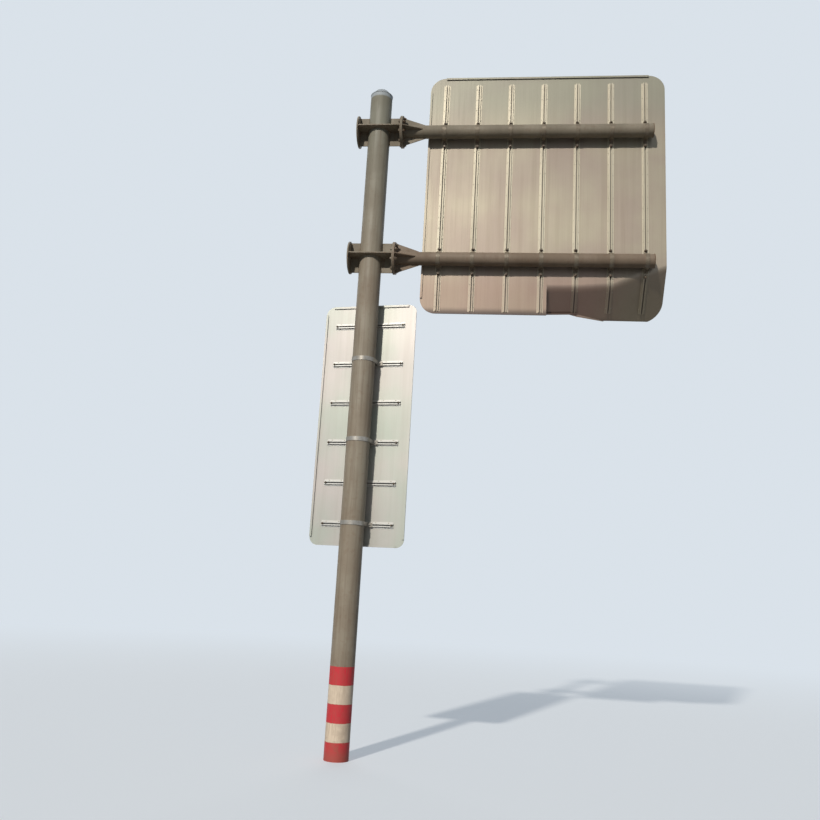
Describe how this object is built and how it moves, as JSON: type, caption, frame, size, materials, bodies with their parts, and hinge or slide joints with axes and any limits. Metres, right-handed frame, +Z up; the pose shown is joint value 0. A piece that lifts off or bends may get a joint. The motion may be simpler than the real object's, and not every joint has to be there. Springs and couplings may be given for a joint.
{
  "type": "cantilever sign gantry",
  "caption": "Roadside sign gantry: one round steel pole, two flanged tube arms with a wide sign on ribs, and a tall sign strapped to the pole.",
  "frame": {"origin": "centre of the pole's foot at ground level", "axes": "+Z up along the pole, +X along the arms, +Y towards the fronts of the signs"},
  "size_m": [4.1918, 0.7386, 8.506],
  "materials": {
    "grey_paint": "weathered matt",
    "sheet_aluminium": "weathered satin",
    "channel_aluminium": "weathered satin",
    "zinc_strap": "dull zinc"
  },
  "bodies": {
    "root": {"lower_arm_cap": "grey_paint", "lower_arm_flange": "grey_paint", "lower_arm_gussets": "grey_paint", "lower_arm_hoop_plates": "zinc_strap", "lower_arm_hoops": "zinc_strap", "lower_arm_tube": "grey_paint", "lower_bracket_end_plate": "grey_paint", "lower_bracket_flange": "grey_paint", "lower_bracket_shelf": "grey_paint", "lower_bracket_stiffeners": "grey_paint", "main_sign_left_sheet": "sheet_aluminium", "main_sign_rib_1": "channel_aluminium", "main_sign_rib_2": "channel_aluminium", "main_sign_rib_3": "channel_aluminium", "main_sign_rib_4": "channel_aluminium", "main_sign_rib_5": "channel_aluminium", "main_sign_rib_6": "channel_aluminium", "main_sign_rib_7": "channel_aluminium", "main_sign_right_sheet": "sheet_aluminium", "pole": "grey_paint", "pole_cap": "grey_paint", "side_sign_hoop_1": "zinc_strap", "side_sign_hoop_1_plate": "zinc_strap", "side_sign_hoop_2": "zinc_strap", "side_sign_hoop_2_plate": "zinc_strap", "side_sign_hoop_3": "zinc_strap", "side_sign_hoop_3_plate": "zinc_strap", "side_sign_rail_1": "channel_aluminium", "side_sign_rail_2": "channel_aluminium", "side_sign_rail_3": "channel_aluminium", "side_sign_rail_4": "channel_aluminium", "side_sign_rail_5": "channel_aluminium", "side_sign_rail_6": "channel_aluminium", "side_sign_sheet": "sheet_aluminium", "upper_arm_cap": "grey_paint", "upper_arm_flange": "grey_paint", "upper_arm_gussets": "grey_paint", "upper_arm_hoop_plates": "zinc_strap", "upper_arm_hoops": "zinc_strap", "upper_arm_tube": "grey_paint", "upper_bracket_end_plate": "grey_paint", "upper_bracket_flange": "grey_paint", "upper_bracket_shelf": "grey_paint", "upper_bracket_stiffeners": "grey_paint"}
  },
  "joints": []
}
